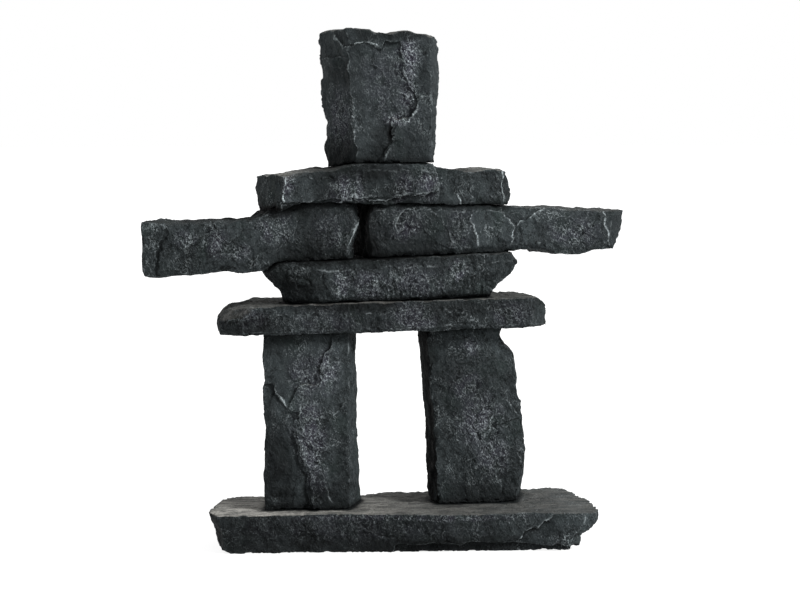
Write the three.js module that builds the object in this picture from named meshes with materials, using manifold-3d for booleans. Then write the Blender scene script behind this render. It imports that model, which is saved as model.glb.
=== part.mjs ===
// A standing figure stacked from nine split slate stones: a base slab, two legs, a hip slab, a waist
// stone, two arms, a shoulder slab and a head. Each stone is one closed solid, and rests on the course
// below it in a flat bed joint. Millimetres, +Z up, the figure faces -Y, and the origin is on the
// underside of the base, below the middle of the waist.
import * as THREE from "three";
import { mergeVertices } from "three/addons/utils/BufferGeometryUtils.js";
import { ImprovedNoise } from "three/addons/math/ImprovedNoise.js";
import Module from "manifold-3d";

// Heights of the courses, from the ground up, measured above the origin
const BASE_THICKNESS = 23.4;
const LEG_HEIGHT = 103.4;
const HIP_THICKNESS = 17.6;
const WAIST_HEIGHT = 24.8;
const ARM_HEIGHT = 31.5;
const SHOULDER_THICKNESS = 23;
const HEAD_HEIGHT = 77.7;

// Slopes of the bed joints in degrees, rising to the right
const HIP_BED_SLOPE = 0.7;
const WAIST_BED_SLOPE = 1;
const ARM_BED_SLOPE = 2;
const SHOULDER_BED_SLOPE = -1.6;

// Lengths and depths of the stones
const BASE_LENGTH = 227;
const BASE_DEPTH = 89.5;
const LEFT_LEG_LENGTH = 62;
const LEFT_LEG_DEPTH = 40;
const RIGHT_LEG_LENGTH = 68.5;
const RIGHT_LEG_DEPTH = 39;
const HIP_LENGTH = 196;
const HIP_DEPTH = 62;
const WAIST_LENGTH = 150.3;
const WAIST_DEPTH = 50;
const LEFT_ARM_LENGTH = 128.7;
const RIGHT_ARM_LENGTH = 157.7;
const ARM_DEPTH = 38;
const SHOULDER_LENGTH = 149.4;
const SHOULDER_DEPTH = 52;
const HEAD_LENGTH = 69.4;
const HEAD_DEPTH = 39;

// Places of the stones' middles, to the right of and behind the origin
const BASE_X = 7;
const BASE_Y = -15.2;
const STANCE_X = 4;
const LEG_SPACE = 32;
const LEFT_LEG_Y = -3;
const RIGHT_LEG_Y = 0.5;
const HIP_X = -2.2;
const HIP_Y = -1;
const WAIST_X = 1.9;
const WAIST_Y = -3;
const ARM_SPLIT_X = -11.5;
const ARM_SPLIT = 3;
const ARM_Y = -1;
const SHOULDER_X = -0.6;
const SHOULDER_Y = -1;
const HEAD_X = -2.9;
const HEAD_Y = 0.5;

// Places where a stone follows its neighbour's form, as shares of the neighbour's length: the waist's
// top left end, the top of the left arm's riser, and the left end of the head's seat on the shoulder
const WAIST_TOP_INSET = 0.045;
const ARM_RISER_TOP = 0.7;
const HEAD_SEAT_LEFT = 0.38;

// Fits. A rough block overruns its beds before it is cut to them, and a cutter reaches past any stone.
const JOINT_GAP = 0.3;
const LIP_CLEARANCE = 0.6;
const BED_OVERRUN = 1.5;
const REACH = 300;

// Surface
const FACET_SIZE = 13;
const FINEST_FACET = 3;
const WEATHERING = 0.8;
const FINE_WEATHERING = 0.48;
const WEATHERING_LENGTH = 26;
const SAME_POINT = 1e-4;

// Steps through the noise, so that stones and directions are unlike each other
const SEED_STEP = 7.3;
const DEPTH_STEP = 31.7;
const HEIGHT_STEP = 63.1;

// Colours of the slate
const DARK_SLATE = "#35393a";
const MID_SLATE = "#3a4042";
const LIGHT_SLATE = "#41474a";

const wasm = await Module();
wasm.setup();
const noise = new ImprovedNoise();

// Closed meshes as solids for joining and cutting, and back again
function solidOf(geometry) {
  const plain = geometry.clone();
  plain.deleteAttribute("normal");
  plain.deleteAttribute("uv");
  const merged = mergeVertices(plain, SAME_POINT);
  return new wasm.Manifold(
    new wasm.Mesh({
      numProp: 3,
      vertProperties: merged.attributes.position.array,
      triVerts: new Uint32Array(merged.index.array),
    }),
  );
}

function geometryOf(solid) {
  const { vertProperties, triVerts } = solid.getMesh();
  const geometry = new THREE.BufferGeometry();
  geometry.setAttribute("position", new THREE.BufferAttribute(vertProperties, 3));
  geometry.setIndex(new THREE.BufferAttribute(triVerts, 1));
  geometry.computeVertexNormals();
  return geometry;
}

// The value of a profile at a place: pairs of place and value, joined by straight lines
function reading(profile, place) {
  const after = profile.findIndex(([at]) => at >= place);
  if (after < 0) return profile[profile.length - 1][1];
  if (after === 0) return profile[0][1];
  const [lowPlace, lowValue] = profile[after - 1];
  const [highPlace, highValue] = profile[after];
  return THREE.MathUtils.mapLinear(place, lowPlace, highPlace, lowValue, highValue);
}

// How far a face stands in from the stone's box, as a share: the sum of its profiles
function inset(face, place) {
  return Object.entries(face).reduce((sum, [way, profile]) => sum + reading(profile, place[way]), 0);
}

// Places for mesh lines one way: the places that profiles name, unless another is close by, with even
// steps between
function stations(faces, way, size) {
  const named = faces.flatMap((face) => (face[way] ?? []).map(([at]) => at));
  const kept = [0];
  for (const at of named.sort((a, b) => a - b)) {
    const room = Math.min(at - kept[kept.length - 1], 1 - at);
    if (room * size >= FINEST_FACET) kept.push(at);
  }
  const ends = [...kept.slice(1), 1];
  return [...kept.flatMap((from, i) => evenSteps(from, ends[i], size)), 1];
}

function evenSteps(from, to, size) {
  const count = Math.ceil(((to - from) * size) / FACET_SIZE);
  return Array.from({ length: count }, (_, step) => from + ((to - from) * step) / count);
}

// Weathering: a slow bend of the whole surface and a quicker one that breaks it into facets
function weathered(point, seed) {
  const moved = point.clone();
  for (const [length, depth] of [[WEATHERING_LENGTH, WEATHERING], [WEATHERING_LENGTH / 2, FINE_WEATHERING]]) {
    const at = point.clone().divideScalar(length).addScalar(seed * SEED_STEP);
    moved.x += depth * noise.noise(at.x, at.y, at.z);
    moved.y += depth * noise.noise(at.y + DEPTH_STEP, at.z, at.x);
    moved.z += depth * noise.noise(at.z + HEIGHT_STEP, at.x, at.y);
  }
  return moved;
}

// The rough block of a stone: a box mesh whose faces are drawn in to the stone's profiles.
// Its own frame has the middle of the bed at the origin.
function roughBlock(size, faces, seed) {
  const list = Object.values(faces);
  const along = stations(list, "along", size.length);
  const across = stations(list, "across", size.depth);
  const up = stations(list, "up", size.height);
  const steps = [along.length - 1, across.length - 1, up.length - 1];
  const box = new THREE.BoxGeometry(1, 1, 1, ...steps);
  const position = box.attributes.position;
  for (let i = 0; i < position.count; i += 1) {
    const place = {
      along: along[Math.round((position.getX(i) + 0.5) * steps[0])],
      across: across[Math.round((position.getY(i) + 0.5) * steps[1])],
      up: up[Math.round((position.getZ(i) + 0.5) * steps[2])],
    };
    const point = weathered(blockPoint(size, faces, place), seed);
    position.setXYZ(i, point.x, point.y, point.z);
  }
  return solidOf(box);
}

function blockPoint(size, faces, place) {
  const { lerp } = THREE.MathUtils;
  const u = lerp(inset(faces.left, place), 1 - inset(faces.right, place), place.along);
  const w = lerp(inset(faces.front, place), 1 - inset(faces.back, place), place.across);
  const overrun = BED_OVERRUN / size.height;
  const low = faces.under ? inset(faces.under, place) : -overrun;
  const high = 1 - (faces.top ? inset(faces.top, place) : -overrun);
  const x = (u - 0.5) * size.length;
  return new THREE.Vector3(x, (w - 0.5) * size.depth, lerp(low, high, place.up) * size.top(x));
}

// A point of the stone's box from its shares of length, depth and height
function boxPoint(size, [u, w, v]) {
  return new THREE.Vector3((u - 0.5) * size.length, (w - 0.5) * size.depth, v * size.height);
}

// All that lies outside a split plane, which passes through a point and faces a compass direction:
// 0 is right, -90 is the front, and lean tips it up
function beyondSplit(size, { at, facing, lean = 0 }) {
  const beyond = new THREE.BoxGeometry(REACH, REACH, REACH).translate(REACH / 2, 0, 0);
  beyond.rotateY(-THREE.MathUtils.degToRad(lean));
  beyond.rotateZ(THREE.MathUtils.degToRad(facing));
  const { x, y, z } = boxPoint(size, at);
  return solidOf(beyond.translate(x, y, z));
}

// A sheet flaked off the front: all that lies in front of a depth, within an outline on the front.
// The floor may turn a few degrees about the outline's middle, deeper to the right.
function flake(size, { outline, depth, turn = 0 }) {
  const corners = outline.map(([u, v]) => {
    const point = boxPoint(size, [u, 0, v]);
    return new THREE.Vector2(point.x, point.z);
  });
  const middle = corners.reduce((sum, corner) => sum.add(corner), new THREE.Vector2());
  middle.divideScalar(corners.length);
  const shape = new THREE.Shape(corners.map((corner) => corner.clone().sub(middle)));
  const sheet = new THREE.ExtrudeGeometry(shape, { depth: REACH, bevelEnabled: false });
  sheet.rotateX(Math.PI / 2);
  sheet.rotateZ(THREE.MathUtils.degToRad(turn));
  sheet.translate(middle.x, (depth - 0.5) * size.depth, middle.y);
  return solidOf(sheet);
}

// The room between a stone's bed and the bed of the course above. Beyond its overhangs, to the left
// and right, the stone may hang lower than its own bed, beside the stone below.
function bedRoom(size, { left, right }) {
  const leftHang = [[-REACH, -REACH], [left, -REACH], [left, size.bed]];
  const rightHang = [[right, size.bed], [right, -REACH], [REACH, -REACH]];
  const leftEnd = left === undefined ? [[-REACH, size.bed]] : leftHang;
  const rightEnd = right === undefined ? [[REACH, size.bed]] : rightHang;
  const corners = [...leftEnd, ...rightEnd, [REACH, size.top(REACH)], [-REACH, size.top(-REACH)]];
  const shape = new THREE.Shape(corners.map(([x, z]) => new THREE.Vector2(x, z)));
  const room = new THREE.ExtrudeGeometry(shape, { depth: 2 * REACH, bevelEnabled: false });
  return solidOf(room.rotateX(Math.PI / 2).translate(0, REACH, 0));
}

// A course's frame: the middle of its bed, tipped by the bed's slope
function courseFrame(height, slope) {
  const group = new THREE.Group();
  group.position.z = height;
  group.rotation.y = -THREE.MathUtils.degToRad(slope);
  group.updateMatrix();
  return group;
}

// The bed of the course above, as a height over each place of a course's own frame
function bedLine(course, above) {
  const turn = course.matrix.clone().invert().multiply(above.matrix);
  const start = new THREE.Vector3(0, 0, 0).applyMatrix4(turn);
  const end = new THREE.Vector3(1, 0, 0).applyMatrix4(turn);
  return (x) => THREE.MathUtils.mapLinear(x, start.x, end.x, start.z, end.z);
}

const COURSES = [
  [BASE_THICKNESS, 0],
  [LEG_HEIGHT, 0],
  [HIP_THICKNESS, HIP_BED_SLOPE],
  [WAIST_HEIGHT, WAIST_BED_SLOPE],
  [ARM_HEIGHT, ARM_BED_SLOPE],
  [SHOULDER_THICKNESS, SHOULDER_BED_SLOPE],
  [HEAD_HEIGHT, 0],
];
const frames = COURSES.map(([, slope], i) => {
  const below = COURSES.slice(0, i).reduce((sum, [height]) => sum + height, 0);
  return courseFrame(below, slope);
});
const topFrame = courseFrame(COURSES.reduce((sum, [height]) => sum + height, 0), 0);

// A stone of one course, from its size, the place of its middle and its form. What hangs beside the
// stone below is cut clear of it.
function addStone(name, { course, length, depth, x, y, seed, colour, roughness }, form) {
  const frame = frames[course];
  const line = bedLine(frame, frames[course + 1] ?? topFrame);
  const top = (place) => line(place + x);
  const size = { length, depth, top, height: top(0), bed: course > 0 ? JOINT_GAP : 0 };
  const { faces, splits = [], flakes = [], overhang = {}, beside } = form;
  let solid = roughBlock(size, faces, seed);
  for (const split of splits) solid = solid.subtract(beyondSplit(size, split));
  for (const sheet of flakes) solid = solid.subtract(flake(size, sheet));
  solid = solid.intersect(bedRoom(size, overhang));
  if (beside) solid = solid.subtract(clearOf(beside, frame, x, y, overhang));
  const material = new THREE.MeshStandardMaterial({ color: colour, roughness, metalness: 0 });
  const mesh = new THREE.Mesh(geometryOf(solid), material);
  mesh.name = name;
  mesh.position.set(x, y, 0);
  frame.add(mesh);
  return mesh;
}

// The stone below with its clearance, where the other stone hangs beside it, in that stone's frame
function clearOf(below, frame, x, y, overhang) {
  below.updateMatrix();
  const turn = frame.matrix.clone().invert().multiply(below.parent.matrix).multiply(below.matrix);
  const moved = below.geometry.clone().applyMatrix4(turn).translate(-x, -y, 0);
  const raised = solidOf(moved.clone().translate(0, 0, LIP_CLEARANCE));
  const aside = solidOf(moved.clone().translate(-LIP_CLEARANCE, 0, 0));
  const leftward = new THREE.BoxGeometry(REACH, REACH, REACH).translate(overhang.left - REACH / 2, 0, 0);
  return raised.add(aside).add(solidOf(moved)).intersect(solidOf(leftward));
}

addStone(
  "base_slab",
  {
    course: 0,
    length: BASE_LENGTH,
    depth: BASE_DEPTH,
    x: BASE_X,
    y: BASE_Y,
    seed: 9,
    colour: LIGHT_SLATE,
    roughness: 0.75,
  },
  {
    faces: {
      left: {
        up: [[0, 0.061], [0.14, 0.032], [0.3, 0.028], [0.47, 0.027], [0.66, 0.02], [0.86, 0.009], [1, 0]],
        across: [[0, 0.013], [0.28, 0], [0.45, 0.014], [0.72, 0.035], [1, 0.056]],
      },
      right: {
        up: [
          [0, 0.05], [0.14, 0.048], [0.27, 0.046], [0.4, 0.049],
          [0.53, 0.026], [0.66, 0.011], [0.8, 0.006], [1, 0.002],
        ],
        across: [[0, 0.021], [0.1, 0.006], [0.35, 0], [0.55, 0], [0.85, 0.01], [1, 0.027]],
      },
      front: {
        along: [
          [0, 0.33], [0.1, 0.307], [0.23, 0.268], [0.355, 0.245], [0.48, 0.189],
          [0.605, 0.102], [0.735, 0.094], [0.84, 0.097], [0.97, 0.003], [1, 0.02],
        ],
        up: [[0, 0.055], [0.14, 0.038], [0.4, 0.022], [0.66, 0.006], [0.8, 0], [1, 0.01]],
      },
      back: {
        along: [
          [0, 0.06], [0.05, 0.01], [0.085, 0], [0.108, 0.055], [0.124, 0.02], [0.16, 0], [0.43, 0.064],
          [0.485, 0.012], [0.61, 0.031], [0.9, 0.073], [0.97, 0.038], [1, 0.06],
        ],
        up: [[0, 0.03], [0.5, 0], [1, 0.02]],
      },
    },
    flakes: [
      {
        outline: [[0.46, -0.3], [1.1, -0.3], [1.1, 0.14], [0.925, 0.16], [0.677, 0.28], [0.471, 0.2]],
        depth: 0.16,
        turn: -7,
      },
      { outline: [[0.92, -0.3], [1.1, -0.3], [1.1, 0.1], [0.92, 0.1]], depth: 1.2 },
    ],
  },
);

addStone(
  "left_leg",
  {
    course: 1,
    length: LEFT_LEG_LENGTH,
    depth: LEFT_LEG_DEPTH,
    x: STANCE_X - LEG_SPACE / 2 - LEFT_LEG_LENGTH / 2,
    y: LEFT_LEG_Y,
    seed: 9,
    colour: MID_SLATE,
    roughness: 0.7,
  },
  {
    faces: {
      left: {
        up: [
          [0, 0.022], [0.06, 0.02], [0.15, 0.009], [0.285, 0.006], [0.42, 0.01],
          [0.47, 0.026], [0.57, 0.008], [0.69, 0],
          [0.73, 0.027], [0.79, 0.019], [0.87, 0.002], [1, 0.02],
        ],
        across: [[0, 0], [1, 0.12]],
      },
      right: {
        up: [
          [0, 0.005], [0.04, 0.015], [0.1, 0.04], [0.15, 0.05], [0.21, 0.04],
          [0.27, 0.055], [0.355, 0.066], [0.58, 0.077], [0.9, 0.085], [1, 0.085],
        ],
        across: [[0, 0], [0.65, 0], [1, 0.04]],
      },
      front: { along: [[0, 0.05], [0.1, 0], [1, 0]], up: [[0, 0], [0.5, 0.01], [0.93, 0], [1, 0.05]] },
      back: { along: [[0, 0.08], [0.4, 0], [1, 0.06]], up: [[0, 0], [0.5, 0.05], [1, 0.08]] },
    },
    splits: [{ at: [0.811, 0, 0.5], facing: -23.7 }],
    flakes: [
      {
        outline: [
          [0.671, 1.1], [0.643, 0.909], [0.596, 0.882], [0.56, 0.82], [0.548, 0.721],
          [0.351, 0.719], [0.237, 0.581], [0.34, 0.556], [0.359, 0.522], [0.32, 0.427],
          [0.348, 0.341], [0.376, 0.273], [0.441, 0.181], [0.478, -0.1], [-0.1, -0.1], [-0.1, 1.1],
        ],
        depth: 0.045,
        turn: -1,
      },
      {
        outline: [
          [0.127, 0.712], [0.135, 0.656], [0.172, 0.627], [0.237, 0.581], [0.32, 0.52], [0.3, 0.43],
          [0.33, 0.34], [0.35, 0.27], [0.41, 0.18], [0.44, -0.1], [-0.1, -0.1], [-0.1, 0.73],
        ],
        depth: 0.09,
        turn: -2,
      },
    ],
  },
);

addStone(
  "right_leg",
  {
    course: 1,
    length: RIGHT_LEG_LENGTH,
    depth: RIGHT_LEG_DEPTH,
    x: STANCE_X + LEG_SPACE / 2 + RIGHT_LEG_LENGTH / 2,
    y: RIGHT_LEG_Y,
    seed: 10,
    colour: MID_SLATE,
    roughness: 0.7,
  },
  {
    faces: {
      left: {
        up: [
          [0, 0.1], [0.144, 0.092], [0.26, 0.077], [0.46, 0.067],
          [0.66, 0.043], [0.75, 0.024], [0.86, 0.008], [0.92, 0], [1, 0.03],
        ],
        across: [[0, 0.045], [0.38, 0], [1, 0.1]],
      },
      right: {
        up: [
          [0, 0.003], [0.086, 0.04], [0.154, 0.066], [0.22, 0.066], [0.317, 0.057], [0.42, 0.085],
          [0.51, 0.104], [0.566, 0.114], [0.605, 0.145], [0.75, 0.141], [0.816, 0.163],
          [0.864, 0.211], [0.9, 0.27], [0.93, 0.3], [0.965, 0.275], [1, 0.27],
        ],
        across: [[0, 0.02], [0.5, 0], [1, 0.04]],
      },
      front: {
        along: [[0, 0.03], [0.3, 0], [0.75, 0], [1, 0.06]],
        up: [[0, 0], [0.3, 0.02], [0.6, 0], [1, 0.05]],
      },
      back: { along: [[0, 0.03], [0.6, 0], [1, 0.1]], up: [[0, 0.03], [0.4, 0], [1, 0.06]] },
    },
    splits: [{ at: [0.828, 0, 0.02], facing: -18.4, lean: -10.4 }],
    flakes: [
      {
        outline: [
          [0.48, 0.4], [0.56, 0.3], [0.66, 0.184], [0.7, 0.08], [0.72, -0.1],
          [1.1, -0.1], [1.1, 0.5], [0.8, 0.47], [0.62, 0.44],
        ],
        depth: 0.05,
        turn: 4,
      },
    ],
  },
);

addStone(
  "hip_slab",
  {
    course: 2,
    length: HIP_LENGTH,
    depth: HIP_DEPTH,
    x: HIP_X,
    y: HIP_Y,
    seed: 10,
    colour: MID_SLATE,
    roughness: 0.7,
  },
  {
    faces: {
      left: {
        up: [[0, 0.015], [0.2, 0.008], [0.48, 0.004], [0.65, 0.008], [0.82, 0.018], [1, 0.04]],
        across: [[0, 0], [0.4, 0.005], [1, 0.02]],
      },
      right: {
        up: [[0, 0.014], [0.38, 0.017], [0.68, 0.021], [0.8, 0.005], [1, 0.01]],
        across: [[0, -0.005], [0.6, 0], [0.8, 0.03], [1, 0.086]],
      },
      front: {
        along: [[0, 0.19], [0.07, 0.01], [0.3, 0.03], [0.5, 0], [0.7, 0.02], [0.93, 0], [1, 0.18]],
        up: [[0, 0.05], [0.12, 0.01], [0.8, 0], [1, 0.06]],
      },
      back: {
        along: [[0, 0.06], [0.1, 0], [0.3, 0.05], [0.6, 0], [0.91, 0.01], [1, 0.2]],
        up: [[0, 0.05], [0.3, 0], [1, 0.03]],
      },
      top: {
        along: [
          [0, 0.15], [0.03, 0.085], [0.05, 0.045], [0.07, 0], [0.09, -0.09],
          [0.93, -0.1], [0.95, -0.06], [0.967, 0.06], [0.984, 0.2], [1, 0.35],
        ],
      },
    },
  },
);

const waist = addStone(
  "waist_stone",
  {
    course: 3,
    length: WAIST_LENGTH,
    depth: WAIST_DEPTH,
    x: WAIST_X,
    y: WAIST_Y,
    seed: 14,
    colour: DARK_SLATE,
    roughness: 0.7,
  },
  {
    faces: {
      left: {
        up: [
          [0, 0.088], [0.12, 0.083], [0.31, 0.069], [0.43, 0.053],
          [0.55, 0.029], [0.65, 0.018], [0.77, 0.001], [1, WAIST_TOP_INSET],
        ],
        across: [[0, 0.03], [0.3, 0], [1, 0.05]],
      },
      right: {
        up: [
          [0, 0.11], [0.12, 0.113], [0.31, 0.086], [0.43, 0.056],
          [0.55, 0.022], [0.65, 0], [0.77, 0.008], [0.88, 0.016], [1, 0.027],
        ],
        across: [[0, 0], [0.5, 0], [1, 0.06]],
      },
      front: {
        along: [[0, 0.12], [0.12, 0], [0.4, 0.03], [0.7, 0], [0.8, 0.04], [1, 0.08]],
        up: [[0, 0.1], [0.2, 0.05], [0.5, 0.02], [0.8, 0], [1, 0.06]],
      },
      back: {
        along: [[0, 0.1], [0.3, 0], [0.6, 0.04], [1, 0.1]],
        up: [[0, 0.08], [0.4, 0], [1, 0.03]],
      },
    },
  },
);

const WAIST_LEFT_END = WAIST_X + (WAIST_TOP_INSET - 0.5) * WAIST_LENGTH;
const WAIST_RIGHT_END = WAIST_X + WAIST_LENGTH / 2;
const LEFT_ARM_X = ARM_SPLIT_X - ARM_SPLIT / 2 - LEFT_ARM_LENGTH / 2;
const RIGHT_ARM_X = ARM_SPLIT_X + ARM_SPLIT / 2 + RIGHT_ARM_LENGTH / 2;

const leftArm = addStone(
  "left_arm",
  {
    course: 4,
    length: LEFT_ARM_LENGTH,
    depth: ARM_DEPTH,
    x: LEFT_ARM_X,
    y: ARM_Y,
    seed: 12,
    colour: DARK_SLATE,
    roughness: 0.7,
  },
  {
    faces: {
      left: {
        up: [[0, 0.01], [0.1, 0.002], [0.23, 0], [0.5, 0.006], [0.65, 0.006], [0.88, 0.004], [1, 0.01]],
        across: [[0, 0], [0.5, 0.004], [1, 0.03]],
      },
      right: {
        up: [[0, 0.035], [0.17, 0.05], [0.67, 0], [0.83, 0.02], [1, 0.025]],
        across: [[0, 0.045], [0.28, 0], [1, 0.07]],
      },
      front: {
        along: [[0, 0.06], [0.05, 0], [0.3, 0.03], [0.6, 0], [1, 0.01]],
        up: [[0, 0.06], [0.15, 0], [0.85, 0], [1, 0.06]],
      },
      back: { along: [[0, 0.1], [0.4, 0], [1, 0.06]], up: [[0, 0.05], [0.5, 0], [1, 0.1]] },
      top: {
        along: [
          [0, 0.34], [0.12, 0.334], [0.19, 0.355], [0.27, 0.349], [0.34, 0.335], [0.42, 0.338],
          [0.5, 0.325], [0.55, 0.28], [0.59, 0.19], [ARM_RISER_TOP, -0.02], [0.74, -0.04], [1, -0.04],
        ],
      },
      under: {
        along: [
          [0, -0.1], [0.05, -0.125], [0.09, -0.13], [0.13, -0.1], [0.2, -0.11], [0.27, -0.118],
          [0.33, -0.098], [0.385, -0.1], [0.43, -0.13], [0.47, -0.165], [0.5, -0.145], [0.58, -0.12],
          [0.68, -0.05], [1, -0.05],
        ],
      },
    },
    flakes: [
      {
        outline: [
          [0.118, 1.1], [0.118, 0.552], [0.095, 0.366], [0.081, 0.267],
          [0.06, -0.2], [-0.1, -0.2], [-0.1, 1.1],
        ],
        depth: 0.06,
        turn: -6,
      },
    ],
    overhang: { left: WAIST_LEFT_END - LEFT_ARM_X },
    beside: waist,
  },
);

addStone(
  "right_arm",
  {
    course: 4,
    length: RIGHT_ARM_LENGTH,
    depth: ARM_DEPTH,
    x: RIGHT_ARM_X,
    y: ARM_Y,
    seed: 13,
    colour: LIGHT_SLATE,
    roughness: 0.7,
  },
  {
    faces: {
      left: {
        up: [[0, 0.005], [0.33, 0], [0.66, 0.002], [1, 0.025]],
        across: [[0, 0], [0.35, -0.01], [1, -0.055]],
      },
      right: {
        up: [
          [0, 0.08], [0.18, 0.063], [0.32, 0.049], [0.455, 0.037],
          [0.59, 0.035], [0.72, 0.027], [0.86, 0.021], [1, 0.02],
        ],
        across: [[0, 0], [0.5, 0], [1, 0.05]],
      },
      front: {
        along: [[0, 0], [0.3, 0.03], [0.42, 0], [0.55, 0.04], [0.9, 0], [1, 0]],
        up: [[0, 0.05], [0.15, 0], [0.85, 0], [1, 0.06]],
      },
      back: { along: [[0, 0.06], [0.5, 0], [1, 0.1]], up: [[0, 0.08], [0.5, 0], [1, 0.05]] },
      top: {
        along: [
          [0, -0.04], [0.5, -0.04], [0.56, 0.022], [0.7, 0.033],
          [0.78, 0.047], [0.86, 0.06], [0.93, 0.072], [1, 0.055],
        ],
      },
      under: {
        along: [
          [0, -0.05], [0.54, -0.05], [0.6, 0.03], [0.66, 0.035], [0.7, 0.01], [0.728, -0.038],
          [0.755, -0.108], [0.795, -0.11], [0.83, -0.165], [0.86, -0.17], [0.89, -0.134],
          [0.92, -0.053], [1, -0.01],
        ],
      },
    },
    splits: [{ at: [0.915, 0, 0.5], facing: -40, lean: -3 }],
    overhang: { right: WAIST_RIGHT_END + LIP_CLEARANCE - RIGHT_ARM_X },
  },
);

const shoulder = addStone(
  "shoulder_slab",
  {
    course: 5,
    length: SHOULDER_LENGTH,
    depth: SHOULDER_DEPTH,
    x: SHOULDER_X,
    y: SHOULDER_Y,
    seed: 18,
    colour: MID_SLATE,
    roughness: 0.65,
  },
  {
    faces: {
      left: {
        up: [
          [0, 0.034], [0.13, 0.027], [0.26, 0.021], [0.39, 0.02],
          [0.52, 0.022], [0.66, 0.01], [0.8, 0.003], [0.92, 0], [1, 0.01],
        ],
        across: [[0, 0], [0.85, 0], [1, 0.05]],
      },
      right: {
        up: [
          [0, 0.03], [0.13, 0.016], [0.26, 0.004], [0.39, 0],
          [0.52, 0], [0.66, 0.009], [0.8, 0.02], [1, 0.04],
        ],
        across: [[0, 0], [0.6, 0], [1, 0.06]],
      },
      front: {
        along: [[0, 0], [0.4, 0.03], [0.6, 0], [1, 0]],
        up: [[0, 0], [0.5, 0.02], [0.85, 0], [1, 0.05]],
      },
      back: { along: [[0, 0.1], [0.3, 0], [0.7, 0.04], [1, 0.12]], up: [[0, 0.08], [0.4, 0], [1, 0.04]] },
      top: {
        along: [
          [0, 0.36], [0.043, 0.325], [0.115, 0.25], [0.194, 0.18], [0.26, 0.156], [0.3, 0.15],
          [HEAD_SEAT_LEFT, 0], [0.4, -0.06], [0.677, -0.06], [0.697, 0], [0.717, 0.04], [0.738, 0.112],
          [0.763, 0.104], [0.81, 0.163], [0.834, 0.187], [0.88, 0.177], [0.93, 0.146], [1, 0.16],
        ],
      },
      under: {
        along: [[0, -0.42], [0.027, -0.365], [0.1, -0.16], [0.14, -0.06], [1, -0.06]],
      },
    },
    splits: [
      { at: [0.087, 0, 0.4], facing: -163, lean: 2 },
      { at: [0.955, 0.135, 0.5], facing: -38, lean: 3 },
    ],
    flakes: [
      {
        outline: [
          [0.671, 1.2], [0.671, 1.015], [0.683, 0.676], [0.699, 0.289],
          [0.7, -0.6], [1.1, -0.6], [1.1, 1.2],
        ],
        depth: 0.135,
        turn: 2,
      },
      {
        outline: [
          [-0.1, -0.6], [1.1, -0.6], [1.1, 0.3], [0.699, 0.313], [0.548, 0.226],
          [0.489, 0.145], [0.371, 0.158], [0.292, 0.123], [0.195, 0.007], [-0.1, -0.02],
        ],
        depth: 0.105,
      },
    ],
    overhang: { left: LEFT_ARM_X + (ARM_RISER_TOP - 0.5) * LEFT_ARM_LENGTH - SHOULDER_X },
    beside: leftArm,
  },
);

addStone(
  "head_stone",
  {
    course: 6,
    length: HEAD_LENGTH,
    depth: HEAD_DEPTH,
    x: HEAD_X,
    y: HEAD_Y,
    seed: 16,
    colour: LIGHT_SLATE,
    roughness: 0.7,
  },
  {
    faces: {
      left: {
        up: [
          [0, 0.108], [0.05, 0.105], [0.1, 0.093], [0.15, 0.068], [0.25, 0.085], [0.3, 0.088], [0.356, 0.1],
          [0.4, 0.088], [0.467, 0.054], [0.54, 0.04], [0.65, 0.042], [0.726, 0.067], [0.765, 0.044],
          [0.805, 0.01], [0.85, 0], [0.91, 0.012], [1, 0.034],
        ],
      },
      right: {
        up: [
          [0, 0.054], [0.1, 0.054], [0.16, 0.029], [0.36, 0.02],
          [0.47, 0.029], [0.6, 0.002], [0.69, 0.003], [0.84, 0.012], [1, 0.02],
        ],
        across: [[0, 0], [0.5, 0], [1, 0.06]],
      },
      front: { along: [[0, 0.03], [1, 0]], up: [[0, 0], [0.5, 0.02], [1, 0]] },
      back: { along: [[0, 0.1], [0.3, 0], [0.8, 0.04], [1, 0.1]], up: [[0, 0], [0.5, 0.04], [1, 0.08]] },
      top: {
        along: [
          [0, 0.03], [0.07, 0.012], [0.13, 0.002], [0.3, 0], [0.38, 0.006], [0.43, 0.03], [0.497, 0.038],
          [0.585, 0.04], [0.66, 0.022], [0.73, 0.024], [0.79, 0.045], [0.88, 0.055], [0.94, 0.06], [1, 0.1],
        ],
      },
      under: { along: [[0, -0.065], [0.2, -0.065], [0.27, -0.02], [1, -0.02]] },
    },
    splits: [
      { at: [0.273, 0.026, 0], facing: -157.9, lean: -3.6 },
      { at: [0.5, 0, 0.875], facing: -90, lean: 14 },
      { at: [0.895, 0, 0.5], facing: -33.6 },
    ],
    flakes: [
      {
        outline: [
          [-0.1, 0.9], [0.25, 0.872], [0.357, 0.902], [0.483, 0.837], [0.516, 0.896], [0.65, 0.9],
          [0.66, 0.764], [0.707, 0.56], [0.783, 0.5], [0.778, 0.418], [0.719, 0.336], [0.576, 0.336],
          [0.592, 0.174], [0.516, 0.085], [0.457, 0], [0.4, -0.1], [-0.1, -0.1],
        ],
        depth: 0.06,
        turn: 2,
      },
    ],
    overhang: { left: SHOULDER_X + (HEAD_SEAT_LEFT - 0.5) * SHOULDER_LENGTH - HEAD_X },
    beside: shoulder,
  },
);

const figure = new THREE.Group();
figure.name = "inukshuk";
figure.add(...frames);

export default figure;
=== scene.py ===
"""Split slate surfaces, stage and camera for a standing figure stacked from nine stones.

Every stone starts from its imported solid. The solid's copy is remeshed finely, and its surface is then
raised and lowered by the splits, ledges, ripples and chips that broken slate shows.
"""

import itertools
import math
from typing import NamedTuple

import bmesh
import bpy
import numpy as np
from bpy.props import FloatProperty, FloatVectorProperty, PointerProperty
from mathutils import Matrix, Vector
from mathutils.bvhtree import BVHTree
from mathutils.kdtree import KDTree


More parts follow.
